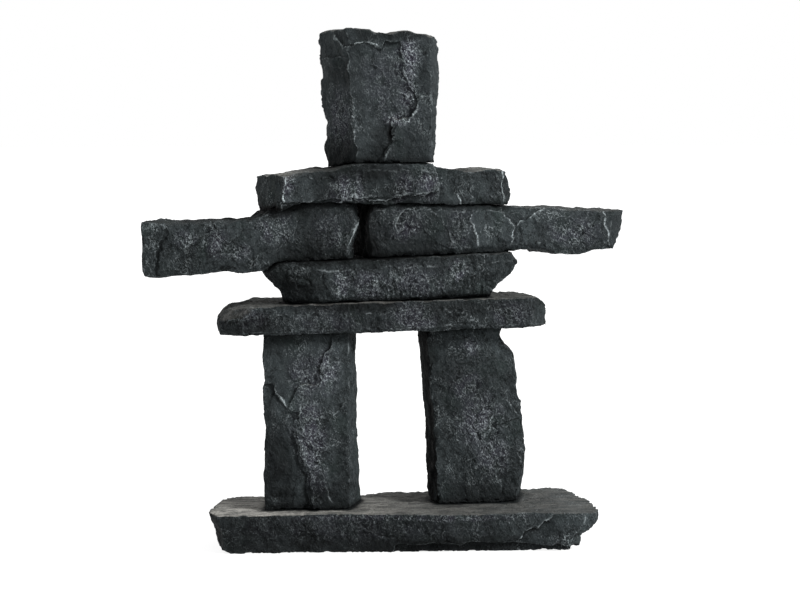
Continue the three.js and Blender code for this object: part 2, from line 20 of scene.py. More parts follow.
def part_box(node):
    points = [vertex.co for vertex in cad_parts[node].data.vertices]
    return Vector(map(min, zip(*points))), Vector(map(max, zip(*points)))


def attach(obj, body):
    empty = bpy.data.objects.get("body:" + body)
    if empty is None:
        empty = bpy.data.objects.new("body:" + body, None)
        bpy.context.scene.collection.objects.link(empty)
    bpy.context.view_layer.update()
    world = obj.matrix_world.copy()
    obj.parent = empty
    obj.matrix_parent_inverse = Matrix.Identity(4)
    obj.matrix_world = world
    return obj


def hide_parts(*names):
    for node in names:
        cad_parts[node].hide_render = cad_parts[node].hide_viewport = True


bl_info = {
    "name": "Stacked slate figure",
    "version": (1, 0, 0),
    "blender": (4, 5, 0),
    "location": "3D View > Sidebar > Slate Figure",
    "description": "Split slate stones, stage and camera around a packed solid model",
    "category": "Object",
}

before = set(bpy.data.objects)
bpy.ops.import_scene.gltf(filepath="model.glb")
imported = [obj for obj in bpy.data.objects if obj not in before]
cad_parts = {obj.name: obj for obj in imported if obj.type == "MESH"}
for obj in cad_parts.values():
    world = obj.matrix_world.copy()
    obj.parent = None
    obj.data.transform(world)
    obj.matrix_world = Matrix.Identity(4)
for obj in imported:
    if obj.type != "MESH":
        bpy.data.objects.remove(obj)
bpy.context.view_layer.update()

MM = 0.001
BODY = "root"

# The figure looks along FRONT, and is seen from a little to the left of that and above
FRONT = np.array([0.0, -1.0, 0.0])
VIEWED_FROM = np.array([-0.35, -0.85, 0.4])

# Cleavage: the direction across a stone's sheets
SHEETS_FACE_FRONT = (0.03, -1.0, 0.05)
SHEETS_LIE_FLAT = (0.02, 0.06, 1.0)


# Features on the fronts of stones. Places are shares of the stone's own length and height.
class Ledge(NamedTuple):
    """A broken edge of a sheet. The sheet to the right of the path stands proud by rise, in millimetres.

    Worn is how pale the edge is. Reach is how far the proud side takes to sink back, in millimetres. Beside
    the edge, the proud side has a painted highlight and the low side a painted shadow.
    """

    path: tuple
    rise: float = 0.8
    worn: float = 0.6
    reach: float = 9.0


class Rough(NamedTuple):
    """A patch of hackly fracture with pale flecks, partly painted glints."""

    centre: tuple
    radius: tuple
    depth: float = 0.5
    flecks: float = 0.8


class Shade(NamedTuple):
    """A patch of painted shade on the front, or of painted light where the amount is below zero."""

    centre: tuple
    radius: tuple
    amount: float


class Stone(NamedTuple):
    """How one stone broke: the direction across its sheets, the features of its front, and its finish.

    Dust and painted light lie on its open top, making it paler, in shares from the left end to the right. Its
    shades are patches of painted shade, and of painted light where their amount is below zero. Ripple and
    hackle are depths in millimetres. Layers is the contrast between layers, chips a factor on the depth of
    chips, softness how much the arrises within its outline are rounded, and tone how light the slate is.
    """

    node: str
    slot: str
    seed: int
    sheets: tuple
    ledges: tuple = ()
    roughs: tuple = ()
    # Patches of painted shade, and of painted light where their amount is below zero
    shades: tuple = ()
    # Dusting and painted light on open tops, in shares from the left end to the right
    dust_and_top_light: tuple = (0.25, 0.25)
    ripple: float = 0.0
    hackle: float = 0.3
    layers: float = 0.12
    chips: float = 1.0
    softness: float = 0.0
    tone: float = 0.5


HEAD = Stone(
    node="head_stone",
    slot="slate",
    seed=11,
    sheets=SHEETS_FACE_FRONT,
    tone=1.1,
    ledges=(
        Ledge(((0.09, 0.99), (0.12, 0.92), (0.17, 0.87), (0.23, 0.86)), 0.9, 1.0, 6.0),
        Ledge(((0.22, 0.865), (0.25, 0.89), (0.31, 0.904), (0.37, 0.904), (0.425, 0.868), (0.47, 0.835)),
              0.7, 1.0, 6.0),
        Ledge(((0.8, 0.618), (0.71, 0.588), (0.69, 0.53), (0.714, 0.485), (0.782, 0.507)), 0.5, 0.7, 3.0),
        Ledge(((0.782, 0.507), (0.774, 0.434), (0.723, 0.346), (0.629, 0.338), (0.527, 0.368)),
              -0.9, 1.2, 6.0),
        Ledge(((0.55, 0.35), (0.578, 0.25), (0.585, 0.17)), -1.4, 1.0, 7.0),
        Ledge(((0.57, 0.154), (0.5, 0.088), (0.455, 0.0)), -0.7, 0.9, 6.0),
        Ledge(((0.833, 0.875), (0.884, 0.69), (0.893, 0.397), (0.867, 0.1)), -0.3, 0.25),
        Ledge(((0.2, 0.8), (0.204, 0.544), (0.221, 0.397), (0.238, 0.25), (0.264, 0.03)), -0.5, 0.8, 5.0),
        Ledge(((0.0, 0.78), (0.1, 0.795), (0.2, 0.79)), 0.9, 0.5, 5.0),
    ),
    roughs=(
        Rough((0.70, 0.78), (0.11, 0.16), 0.8, 1.0),
        Rough((0.72, 0.52), (0.08, 0.12), 0.6, 0.9),
        Rough((0.62, 0.35), (0.13, 0.05), 0.6, 1.0),
        Rough((0.15, 0.33), (0.07, 0.24), 0.6, 1.0),
        Rough((0.5, 0.6), (0.22, 0.25), 0.3, 0.3),
    ),
    shades=(
        Shade((0.62, 0.96), (0.45, 0.06), 0.6),
        Shade((0.16, 0.68), (0.1, 0.09), 0.35),
        Shade((0.553, 0.25), (0.03, 0.08), 0.9),
        Shade((0.47, 0.2), (0.07, 0.14), 0.3),
        Shade((0.14, 0.12), (0.1, 0.14), 0.4),
        Shade((0.3, 0.04), (0.5, 0.13), 0.4),
        Shade((0.27, 0.6), (0.08, 0.4), 0.25),
        Shade((0.6, 0.2), (0.2, 0.15), 0.25),
        Shade((0.72, 0.78), (0.12, 0.15), -0.3),
    ),
)

SHOULDER = Stone(
    node="shoulder_slab",
    slot="slate",
    seed=12,
    sheets=SHEETS_LIE_FLAT,
    tone=0.55,
    ledges=(
        Ledge(((0.7, 0.44), (0.62, 0.41), (0.549, 0.36), (0.53, 0.39), (0.49, 0.327), (0.411, 0.32),
               (0.37, 0.35), (0.36, 0.43), (0.35, 0.31), (0.3, 0.3), (0.29, 0.35)), 0.6, 1.3, 5.0),
        Ledge(((0.672, 1.0), (0.683, 0.7), (0.7, 0.44)), -0.3, 0.9, 6.0),
        Ledge(((0.087, 0.85), (0.082, 0.5), (0.079, 0.1)), -0.3, 1.6, 5.0),
        Ledge(((0.142, 0.135), (0.115, 0.21), (0.075, 0.23)), 0.4, 0.9, 4.0),
        Ledge(((0.773, 0.45), (0.785, 0.25), (0.787, 0.05)), 0.4, 1.4, 4.0),
        Ledge(((0.96, 0.99), (0.957, 0.6), (0.965, 0.2)), 0.2, 1.4, 4.0),
    ),
    roughs=(
        Rough((0.32, 0.5), (0.05, 0.3), 0.5, 0.9),
        Rough((0.38, 0.5), (0.03, 0.3), 0.5, 0.6),
        Rough((0.55, 0.5), (0.04, 0.3), 0.6, 1.0),
        Rough((0.65, 0.6), (0.06, 0.3), 0.5, 0.8),
        Rough((0.1, 0.65), (0.03, 0.3), 0.4, 0.8),
    ),
    shades=(
        Shade((0.38, 0.85), (0.2, 0.2), 0.65),
        Shade((0.43, 0.5), (0.05, 0.3), 0.3),
        Shade((0.38, 0.2), (0.05, 0.15), 0.4),
        Shade((0.45, 0.17), (0.3, 0.08), 0.8),
        Shade((0.25, 0.5), (0.06, 0.35), 0.5),
        Shade((0.54, 0.45), (0.05, 0.3), 0.6),
        Shade((0.5, 0.2), (0.12, 0.15), 0.4),
        Shade((0.65, 0.2), (0.08, 0.15), 0.45),
        Shade((0.05, 0.125), (0.055, 0.08), 0.95),
        Shade((0.04, 0.97), (0.08, 0.1), -0.8),
        Shade((0.95, 0.95), (0.1, 0.12), -0.6),
    ),
    dust_and_top_light=(0.9, 0.45, 0.12, 0.04, 0.0, 0.0, 0.0, 0.15, 0.4, 0.6),
)

LEFT_ARM = Stone(
    node="left_arm",
    slot="slate",
    seed=13,
    sheets=SHEETS_FACE_FRONT,
    ledges=(
        Ledge(((0.12, 0.78), (0.106, 0.64), (0.083, 0.466), (0.069, 0.37), (0.059, 0.205), (0.04, 0.08)),
              0.7, 0.3, 6.0),
        Ledge(((0.985, 0.9), (0.995, 0.8), (0.968, 0.644), (0.93, 0.38)), -0.4, 1.3, 5.0),
        Ledge(((0.278, 0.205), (0.37, 0.34), (0.465, 0.29), (0.51, 0.2)), 0.6, 0.45, 7.0),
        Ledge(((0.66, 0.95), (0.7, 0.7), (0.67, 0.4)), 0.5, 0.3, 8.0),
    ),
    roughs=(
        Rough((0.2, 0.51), (0.05, 0.15), 0.5, 0.65),
        Rough((0.34, 0.46), (0.06, 0.18), 0.5, 0.6),
        Rough((0.43, 0.33), (0.05, 0.12), 0.5, 0.6),
        Rough((0.6, 0.64), (0.08, 0.22), 0.6, 0.75),
        Rough((0.85, 0.6), (0.08, 0.25), 0.4, 0.4),
    ),
    shades=(
        Shade((0.8, 0.32), (0.28, 0.16), 0.55),
        Shade((0.6, 0.93), (0.06, 0.06), 0.8),
        Shade((0.35, 1.0), (0.65, 0.25), 0.75),
        Shade((0.78, 0.6), (0.13, 0.35), 0.35),
        Shade((0.97, 0.4), (0.06, 0.5), 0.5),
        Shade((0.1, 0.2), (0.15, 0.25), 0.2),
    ),
    dust_and_top_light=(0.02, 0.0),
    ripple=0.3,
)

RIGHT_ARM = Stone(
    node="right_arm",
    slot="slate",
    seed=14,
    sheets=SHEETS_FACE_FRONT,
    tone=0.85,
    ledges=(
        Ledge(((0.135, 0.477), (0.147, 0.656), (0.159, 0.782), (0.179, 0.89), (0.206, 0.854), (0.222, 0.692),
               (0.238, 0.603)), -0.6, 1.0, 4.0),
        Ledge(((0.372, 0.225), (0.345, 0.333), (0.325, 0.513), (0.317, 0.656), (0.297, 0.746),
               (0.258, 0.836)), 0.6, 0.9, 5.0),
        Ledge(((0.424, 0.86), (0.412, 0.692), (0.428, 0.513), (0.436, 0.333), (0.443, 0.12)),
              -0.9, 0.95, 7.0),
        Ledge(((0.52, 0.95), (0.554, 0.692), (0.578, 0.549), (0.574, 0.333), (0.562, 0.16)), 0.8, 0.9, 6.0),
        Ledge(((0.7, 0.92), (0.641, 0.746), (0.601, 0.638), (0.578, 0.53)), -0.6, 1.0, 6.0),
        Ledge(((0.913, 0.95), (0.915, 0.55), (0.927, 0.15)), -0.2, 1.3, 4.0),
        Ledge(((0.368, 0.95), (0.372, 0.6), (0.376, 0.33)), 0.3, 0.5, 4.0),
    ),
    roughs=(
        Rough((0.8, 0.45), (0.09, 0.3), 0.5, 0.8),
        Rough((0.18, 0.6), (0.06, 0.3), 0.6, 0.9),
        Rough((0.08, 0.5), (0.07, 0.4), 0.7, 0.15),
        Rough((0.38, 0.5), (0.05, 0.4), 0.5, 0.5),
    ),
    shades=(
        Shade((0.03, 0.5), (0.07, 0.8), 0.75),
        Shade((0.03, 0.95), (0.06, 0.25), 0.95),
        Shade((0.62, 0.5), (0.04, 0.35), -0.4),
        Shade((0.96, 0.5), (0.03, 0.5), 0.25),
        Shade((0.36, 0.6), (0.05, 0.4), 0.25),
        Shade((0.0, 0.1), (0.025, 0.14), 0.95),
        Shade((0.18, 0.5), (0.16, 0.8), 0.4),
        Shade((0.17, 0.12), (0.16, 0.2), 0.35),
        Shade((0.5, 0.55), (0.13, 0.4), -0.25),
    ),
    dust_and_top_light=(0.0, 0.1, 0.15),
    ripple=0.25,
)

WAIST = Stone(
    node="waist_stone",
    slot="slate",
    seed=15,
    sheets=SHEETS_LIE_FLAT,
    ledges=(
        Ledge(((0.8, 0.1), (0.82, 0.5), (0.8, 0.95)), -0.4, 0.4, 6.0),
        Ledge(((0.14, 0.95), (0.12, 0.5), (0.15, 0.15)), 0.4, 0.4, 6.0),
    ),
    roughs=(
        Rough((0.3, 0.4), (0.04, 0.35), 0.7, 0.85),
        Rough((0.41, 0.35), (0.07, 0.35), 0.6, 0.7),
        Rough((0.58, 0.45), (0.14, 0.4), 0.5, 0.45),
        Rough((0.76, 0.65), (0.04, 0.25), 0.5, 0.9),
    ),
    shades=(
        Shade((0.3, 0.95), (0.38, 0.2), 0.75),
        Shade((0.04, 0.5), (0.1, 0.7), 0.6),
        Shade((0.17, 0.35), (0.09, 0.4), 0.5),
        Shade((0.55, 0.75), (0.4, 0.14), 0.3),
        Shade((0.65, 0.95), (0.25, 0.12), 0.35),
        Shade((0.73, 0.07), (0.12, 0.13), 0.4),
        Shade((0.8, 0.55), (0.08, 0.25), -0.25),
        Shade((0.97, 0.1), (0.08, 0.25), 0.4),
    ),
    dust_and_top_light=(0.0, 0.0, 0.1),
    ripple=0.7,
    hackle=0.4,
)

HIP = Stone(
    node="hip_slab",
    slot="slate",
    seed=16,
    sheets=SHEETS_LIE_FLAT,
    ledges=(
        Ledge(((0.04, 0.75), (0.1, 0.95), (0.16, 1.0)), 0.3, 0.5, 4.0),
    ),
    roughs=(
        Rough((0.57, 0.5), (0.07, 0.5), 0.6, 0.8),
        Rough((0.3, 0.45), (0.12, 0.4), 0.5, 0.4),
        Rough((0.87, 0.55), (0.06, 0.35), 0.4, 0.6),
        Rough((0.08, 0.5), (0.06, 0.3), 0.4, 0.5),
    ),
    shades=(
        Shade((0.36, 0.9), (0.22, 0.3), 0.7),
        Shade((0.75, 0.85), (0.3, 0.35), 0.4),
        Shade((0.1, 0.3), (0.1, 0.4), 0.65),
        Shade((0.45, 0.35), (0.5, 0.5), 0.22),
        Shade((0.03, 0.95), (0.06, 0.2), -0.5),
    ),
    ripple=0.6,
    hackle=0.4,
)

LEFT_LEG = Stone(
    node="left_leg",
    slot="slate",
    seed=17,
    sheets=SHEETS_FACE_FRONT,
    tone=0.6,
    ledges=(
        Ledge(((0.671, 0.965), (0.643, 0.909), (0.596, 0.882), (0.567, 0.832), (0.548, 0.777), (0.548, 0.69)),
              -1.0, 0.7, 9.0),
        Ledge(((0.127, 0.712), (0.135, 0.656), (0.172, 0.627), (0.237, 0.581)), -0.3, 1.2, 7.0),
        Ledge(((0.34, 0.61), (0.359, 0.56), (0.35, 0.522)), -0.6, 1.1, 5.0),
        Ledge(((0.33, 0.483), (0.32, 0.427), (0.348, 0.341), (0.376, 0.273), (0.441, 0.181)), -0.5, 0.6, 7.0),
        Ledge(((0.66, 0.538), (0.726, 0.559), (0.792, 0.614)), 0.6, 0.8, 5.0),
        Ledge(((0.57, 0.14), (0.62, 0.09), (0.66, 0.02)), -0.4, 1.1, 4.0),
    ),
    roughs=(
        Rough((0.45, 0.42), (0.16, 0.2), 0.7, 0.8),
        Rough((0.5, 0.25), (0.1, 0.15), 0.5, 0.7),
        Rough((0.62, 0.78), (0.12, 0.12), 0.6, 0.65),
        Rough((0.4, 0.75), (0.15, 0.15), 0.5, 0.5),
    ),
    shades=(
        Shade((0.08, 0.3), (0.18, 0.36), 0.6),
        Shade((0.25, 0.18), (0.15, 0.25), 0.4),
        Shade((0.5, 0.03), (0.6, 0.12), 0.5),
        Shade((0.77, 0.25), (0.12, 0.22), 0.4),
        Shade((0.1, 0.95), (0.3, 0.08), 0.35),
        Shade((0.6, 0.75), (0.15, 0.2), -0.2),
        Shade((0.2, 0.56), (0.07, 0.07), -0.5),
        Shade((0.4, 0.8), (0.2, 0.1), 0.15),
        Shade((0.33, 0.1), (0.06, 0.1), -0.55),
        Shade((0.52, 0.14), (0.06, 0.12), 0.3),
        Shade((0.3, 0.62), (0.12, 0.08), -0.15),
    ),
    softness=0.9,
)

RIGHT_LEG = Stone(
    node="right_leg",
    slot="slate",
    seed=18,
    sheets=SHEETS_FACE_FRONT,
    tone=0.55,
    ledges=(
        Ledge(((0.105, 0.818), (0.061, 0.678), (0.079, 0.508), (0.106, 0.366), (0.132, 0.326), (0.053, 0.282),
               (0.132, 0.195), (0.141, 0.007)), -1.0, 0.45, 5.0),
        Ledge(((0.508, 0.357), (0.659, 0.184)), 0.7, 0.6, 7.0),
        Ledge(((0.72, 0.61), (0.8, 0.58), (0.84, 0.53), (0.9, 0.48)), 0.6, 0.6, 6.0),
    ),
    roughs=(
        Rough((0.52, 0.48), (0.2, 0.15), 0.9, 0.75),
        Rough((0.4, 0.65), (0.15, 0.1), 0.5, 0.6),
        Rough((0.45, 0.88), (0.1, 0.06), 0.4, 0.5),
        Rough((0.66, 0.27), (0.16, 0.12), 0.6, 0.6),
    ),
    shades=(
        Shade((0.5, 0.03), (0.6, 0.12), 0.5),
        Shade((0.1, 0.6), (0.16, 0.4), 0.3),
        Shade((0.25, 0.8), (0.15, 0.15), 0.2),
        Shade((0.53, 0.6), (0.1, 0.1), 0.2),
        Shade((0.68, 0.18), (0.15, 0.12), 0.15),
        Shade((0.03, 0.85), (0.09, 0.2), 0.55),
        Shade((0.03, 0.42), (0.07, 0.28), 0.5),
        Shade((0.03, 0.08), (0.08, 0.14), 0.5),
        Shade((0.35, 0.6), (0.15, 0.15), 0.3),
        Shade((0.85, 0.68), (0.1, 0.08), 0.35),
        Shade((0.6, 0.94), (0.3, 0.1), -0.6),
    ),
    layers=1.3,
    chips=1.7,
)

BASE = Stone(
    node="base_slab",
    slot="base_slate",
    seed=19,
    sheets=SHEETS_LIE_FLAT,
    tone=0.55,
    ledges=(
        Ledge(((0.874, 1.0), (0.854, 0.799), (0.82, 0.626), (0.794, 0.477), (0.781, 0.218)), 1.1, 0.8, 9.0),
        Ledge(((0.925, 0.163), (0.677, 0.283), (0.471, 0.335)), 0.4, 0.4, 4.0),
        Ledge(((0.35, 0.8), (0.42, 0.5), (0.48, 0.35)), 0.6, 0.4, 8.0),
    ),
    roughs=(
        Rough((0.5, 0.9), (0.28, 0.09), 0.4, 0.9),
        Rough((0.35, 0.6), (0.3, 0.3), 0.4, 0.3),
    ),
    shades=(
        Shade((0.3, 0.5), (0.55, 1.2), 0.5),
        Shade((0.55, 0.12), (0.3, 0.35), 0.5),
        Shade((0.2, 0.35), (0.25, 0.3), 0.2),
        Shade((0.04, 0.75), (0.1, 0.3), 0.2),
        Shade((0.95, 0.75), (0.1, 0.3), -0.4),
    ),
    dust_and_top_light=(1.0, 0.9, 0.6, 0.32, 0.22, 0.22),
)

# The stones that each stone touches
NEIGHBOURS = {
    "base_slab": ("left_leg", "right_leg"),
    "left_leg": ("base_slab", "hip_slab"),
    "right_leg": ("base_slab", "hip_slab"),
    "hip_slab": ("left_leg", "right_leg", "waist_stone"),
    "waist_stone": ("hip_slab", "left_arm", "right_arm"),
    "left_arm": ("waist_stone", "right_arm", "shoulder_slab"),
    "right_arm": ("waist_stone", "left_arm", "shoulder_slab"),
    "shoulder_slab": ("left_arm", "right_arm", "head_stone"),
    "head_stone": ("shoulder_slab",),
}


# Noise
GRADIENT_COUNT = 256
GRADIENTS = np.random.default_rng(5).normal(size=(GRADIENT_COUNT, 3))
GRADIENTS /= np.linalg.norm(GRADIENTS, axis=1, keepdims=True)
PRIMES = np.array([73856093, 19349663, 83492791], dtype=np.int64)
SEED_PRIME = 2654435761
MIXING_FACTOR = 1274126177
NOISE_GAIN = 1.6
LAYER_STEP = 31


def ramp(values, low, high):
    """0 below low, 1 above high, and a smooth rise between."""
    part = np.clip((values - low) / (high - low), 0.0, 1.0)
    return part * part * (3.0 - 2.0 * part)


def noise(points, seed):
    """Gradient noise, about -1 to 1, at each row of points."""
    cell = np.floor(points).astype(np.int64)
    inside = points - cell
    fade = inside**3 * (inside * (inside * 6.0 - 15.0) + 10.0)
    total = np.zeros(len(points))
    for corner in itertools.product((0, 1), repeat=3):
        mixed = ((cell + corner) * PRIMES).sum(axis=1) + seed * SEED_PRIME
        mixed ^= mixed >> 13
        mixed *= MIXING_FACTOR
        mixed ^= mixed >> 16
        gradient = GRADIENTS[mixed % GRADIENT_COUNT]
        weight = np.prod(np.where(corner, fade, 1.0 - fade), axis=1)
        total += weight * np.einsum("ij,ij->i", gradient, inside - corner)
    return total * NOISE_GAIN


def layered_noise(points, seed, layers=3, falloff=0.5):
    """Noise in several layers, each twice as fine as the one before."""
    strengths = [falloff**i for i in range(layers)]
    total = sum(s * noise(points * 2.0**i, seed + LAYER_STEP * i) for i, s in enumerate(strengths))
    return total / sum(strengths)


class Pattern(NamedTuple):
    """Noise on a stone. Size is that of its features in millimetres. Step is added to the stone's seed."""

    size: float
    step: int
    layers: int = 3
    falloff: float = 0.5

    def at(self, stone, places):
        """The pattern at each place, about -1 to 1."""
        return layered_noise(places / self.size, stone.seed + self.step, self.layers, self.falloff)

    def push(self, stone, places, ways=3):
        """A pattern of its own for each of two or three directions."""
        parts = [self._replace(step=self.step + i).at(stone, places) for i in range(ways)]
        return np.stack(parts, axis=1)


SWELL = Pattern(24.0, 0)
PLATE_HEIGHTS = Pattern(30.0, 3, 2)
SHEET_WANDER = Pattern(16.0, 5, 1)
RIPPLES = Pattern((3.6, 3.6, 12.0), 7, 1)
HACKLE_PATCHES = Pattern(20.0, 8, 2)
GRIT = Pattern(2.2, 10, 3, 0.7)
BROAD_BITES = Pattern(6.0, 20, 1)
CRUMBS = Pattern(2.0, 21, 1)
FLECKED_SPOTS = Pattern(13.0, 22, 3, 0.6)
WORN_STRETCHES = Pattern(6.0, 23, 3, 0.7)
JOINT_BORDER = Pattern(6.0, 24, 3, 0.7)
PLATE_WARP = Pattern(9.0, 40)
DRIFT = Pattern(8.0, 60, 3, 0.45)
LEDGE_WANDER = Pattern(5.0, 71, 4, 0.7)
LEDGE_BREAKS = Pattern(3.0, 75, 3, 0.8)
PATCH_BORDER = Pattern(9.0, 80, 3, 0.6)

# The steps of the other patterns
LAMINATION_STEP = 6
HACKLE_STEP = 9
BAND_STEP = 12
FACET_STEP = 30
FEATURE_STEP = 90


# Surfaces. Spacing and gaps are in millimetres.
FINE_SPACING = 0.5
WELD_GAP = 0.01
FRONT_FACE = 0.3


class Surface:
    """A stone's fine mesh as arrays: places in millimetres, normals and neighbours."""

    def __init__(self, mesh):
        self.mesh = mesh
        count = len(mesh.vertices)
        flat = np.zeros(count * 3)
        mesh.vertices.foreach_get("co", flat)
        self.places = flat.reshape(-1, 3) / MM
        ends = np.zeros(len(mesh.edges) * 2, dtype=np.int64)
        mesh.edges.foreach_get("vertices", ends)
        ends = ends.reshape(-1, 2)
        self.starts = np.concatenate([ends[:, 0], ends[:, 1]])
        self.others = np.concatenate([ends[:, 1], ends[:, 0]])
        self.degree = np.bincount(self.starts, minlength=count)
        lengths = np.linalg.norm(self.places[self.starts] - self.places[self.others], axis=1)
        self.spacing = np.bincount(self.starts, lengths, minlength=count) / self.degree

    def smooth(self, field, times):
        """A field, one or three numbers a vertex, averaged with its neighbours a number of times."""
        if field.ndim > 1:
            return np.stack([self.smooth(part, times) for part in field.T], axis=1)
        for _ in range(times):
            around = np.bincount(self.starts, field[self.others], minlength=len(field)) / self.degree
            field = 0.5 * (field + around)
        return field

    def normals(self):
        """The mesh's vertex normals at the places as they are."""
        self.store()
        flat = np.zeros(len(self.mesh.vertices) * 3)
        self.mesh.vertices.foreach_get("normal", flat)
        return flat.reshape(-1, 3)

    def store(self):
        """Gives the mesh the places."""
        self.mesh.vertices.foreach_set("co", (self.places * MM).ravel())
        self.mesh.update()

    def crease(self, times):
        """How far each vertex stands out from its surroundings, evened out between coarse and fine mesh."""
        proud = np.einsum("ij,ij->i", self.places - self.smooth(self.places, times), self.normals())
        return proud * (FINE_SPACING / self.spacing) ** 2

    def write(self, name, field):
        """Stores one number a vertex for the material."""
        attribute = self.mesh.attributes.new(name, "FLOAT", "POINT")
        attribute.data.foreach_set("value", field.astype(np.float32))


def box_of(node):
    """The node's lowest and highest corners, in millimetres."""
    return [np.array(corner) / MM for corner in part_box(node)]


def welded(mesh):
    """The mesh for editing, with corners in one place joined."""
    shape = bmesh.new()
    shape.from_mesh(mesh)
    bmesh.ops.remove_doubles(shape, verts=shape.verts, dist=WELD_GAP * MM)
    return shape


def refine_front(mesh):
    """Halves the edges of all faces that look to the front."""
    shape = bmesh.new()
    shape.from_mesh(mesh)
    front = Vector(FRONT)
    edges = {edge for face in shape.faces if face.normal.dot(front) > FRONT_FACE for edge in face.edges}
    bmesh.ops.subdivide_edges(shape, edges=list(edges), cuts=1, use_grid_fill=True)
    many_sided = [face for face in shape.faces if len(face.verts) > 4]
    bmesh.ops.triangulate(shape, faces=many_sided)
    for face in shape.faces:
        face.smooth = True
    shape.to_mesh(mesh)
    shape.free()


def fine_copy(node, name, grain):
    """A new object with the node's shape as one mesh of small quads, finer on the front."""
    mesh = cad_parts[node].data.copy()
    shape = welded(mesh)
    shape.to_mesh(mesh)
    shape.free()
    rough = bpy.data.objects.new(name, mesh)
    bpy.context.scene.collection.objects.link(rough)
    remesh = rough.modifiers.new("Even grain", "REMESH")
    remesh.mode = "VOXEL"
    remesh.voxel_size = grain * MM
    remesh.use_smooth_shade = True
    depsgraph = bpy.context.evaluated_depsgraph_get()
    even = bpy.data.meshes.new_from_object(rough.evaluated_get(depsgraph))
    if not even.polygons:
        raise RuntimeError(f"{node} has no surface to carve")
    rough.modifiers.clear()
    rough.data = even
    bpy.data.meshes.remove(mesh)
    even.name = name
    even.materials.clear()
    refine_front(even)
    return rough


# Sharp edges are followed in steps of millimetres, and hold what is within a share of the mesh's spacing
ARRIS_ANGLE = math.radians(24.0)
ARRIS_STEP = 0.3
SNAP_SHARE = 0.62


class Arrises:
    """The sharp outward edges of a node, as closely spaced places in millimetres."""

    def __init__(self, node):
        shape = welded(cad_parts[node].data)
        self.surface = BVHTree.FromBMesh(shape)
        lines = []
        for edge in shape.edges:
            if len(edge.link_faces) == 2 and edge.calc_face_angle_signed() > ARRIS_ANGLE:
                first, last = (np.array(corner.co) / MM for corner in edge.verts)
                count = max(2, math.ceil(np.linalg.norm(last - first) / ARRIS_STEP))
                shares = np.linspace(0.0, 1.0, count)
                lines.append(first + shares[:, None] * (last - first))
        shape.free()
        places = np.concatenate(lines)
        self.tree = KDTree(len(places))
        for i, place in enumerate(places):
            self.tree.insert(place, i)
        self.tree.balance()

    def fit(self, places, spacing):
        """The places moved onto the node, or onto an arris close by, and their distances to an arris."""
        fitted = places.copy()
        gaps = np.zeros(len(places))
        for i, place in enumerate(places):
            on_arris, _, gap = self.tree.find(place)
            if gap < SNAP_SHARE * spacing[i]:
                fitted[i] = on_arris
                continue
            fitted[i] = np.array(self.surface.find_nearest(Vector(place * MM))[0]) / MM
            gaps[i] = gap
        return fitted, gaps


# Neighbours further off than this, in millimetres, don't matter
FAR_FROM_JOINT = 8.0


def gap_to_neighbours(places, node):
    """Each place's distance to the nearest of the stones that this one touches, in millimetres."""
    gap = np.full(len(places), FAR_FROM_JOINT)
    for other in NEIGHBOURS[node]:
        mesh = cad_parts[other].data
        tree = BVHTree.FromPolygons([v.co for v in mesh.vertices], [p.vertices for p in mesh.polygons])
        low, high = box_of(other)
        near = np.all((places > low - FAR_FROM_JOINT) & (places < high + FAR_FROM_JOINT), axis=1)
        for i in np.flatnonzero(near):
            distance = tree.find_nearest(Vector(places[i] * MM), FAR_FROM_JOINT * MM)[3]
            if distance is not None:
                gap[i] = min(gap[i], distance / MM)
    return gap


# Relief. Crags are drawn out along a line that leans to the left.
CRAG_LEAN = np.array([[0.94, 0.0, 0.16], [0.0, 1.0, 0.0], [0.34, 0.0, 0.72]])
CRAG_SIZES = ((5.0, 0.45), (2.3, 0.35), (1.2, 0.2))


def crags(places, seed):
    """Sharp crests, about -1 to 1, drawn out along a line that leans and wanders."""
    warp = np.stack([noise(places / 6.0, seed + i) for i in range(3)], axis=1)
    lean = (places + 2.4 * warp) @ CRAG_LEAN
    folds = enumerate(CRAG_SIZES)
    return 1.0 - 3.2 * sum(share * np.abs(noise(lean / size, seed + 5 + i)) for i, (size, share) in folds)


def shares_of(stone, places):
    """Places as shares of the stone's own length and height, and these in millimetres."""
    low, high = box_of(stone.node)
    size = (high - low)[[0, 2]]
    return (places - low)[:, (0, 2)] / size, size


def path_distance(flat, path):
    """How far to the right of a path and how far along it each place is, and the path's length."""
    best = np.full(len(flat), np.inf)
    signed = np.zeros(len(flat))
    along = np.zeros(len(flat))
    walked = 0.0
    for start, end in zip(path[:-1], path[1:]):
        step = end - start
        length = np.hypot(*step)
        share = np.clip((flat - start) @ step / length**2, 0.0, 1.0)
        offset = flat - (start + share[:, None] * step)
        distance = np.hypot(offset[:, 0], offset[:, 1])
        side = np.sign(step[1] * offset[:, 0] - step[0] * offset[:, 1])
        nearer = distance < best
        best = np.where(nearer, distance, best)
        signed = np.where(nearer, side * distance, signed)
        along = np.where(nearer, walked + share * length, along)
        walked += length
    return signed, along, walked


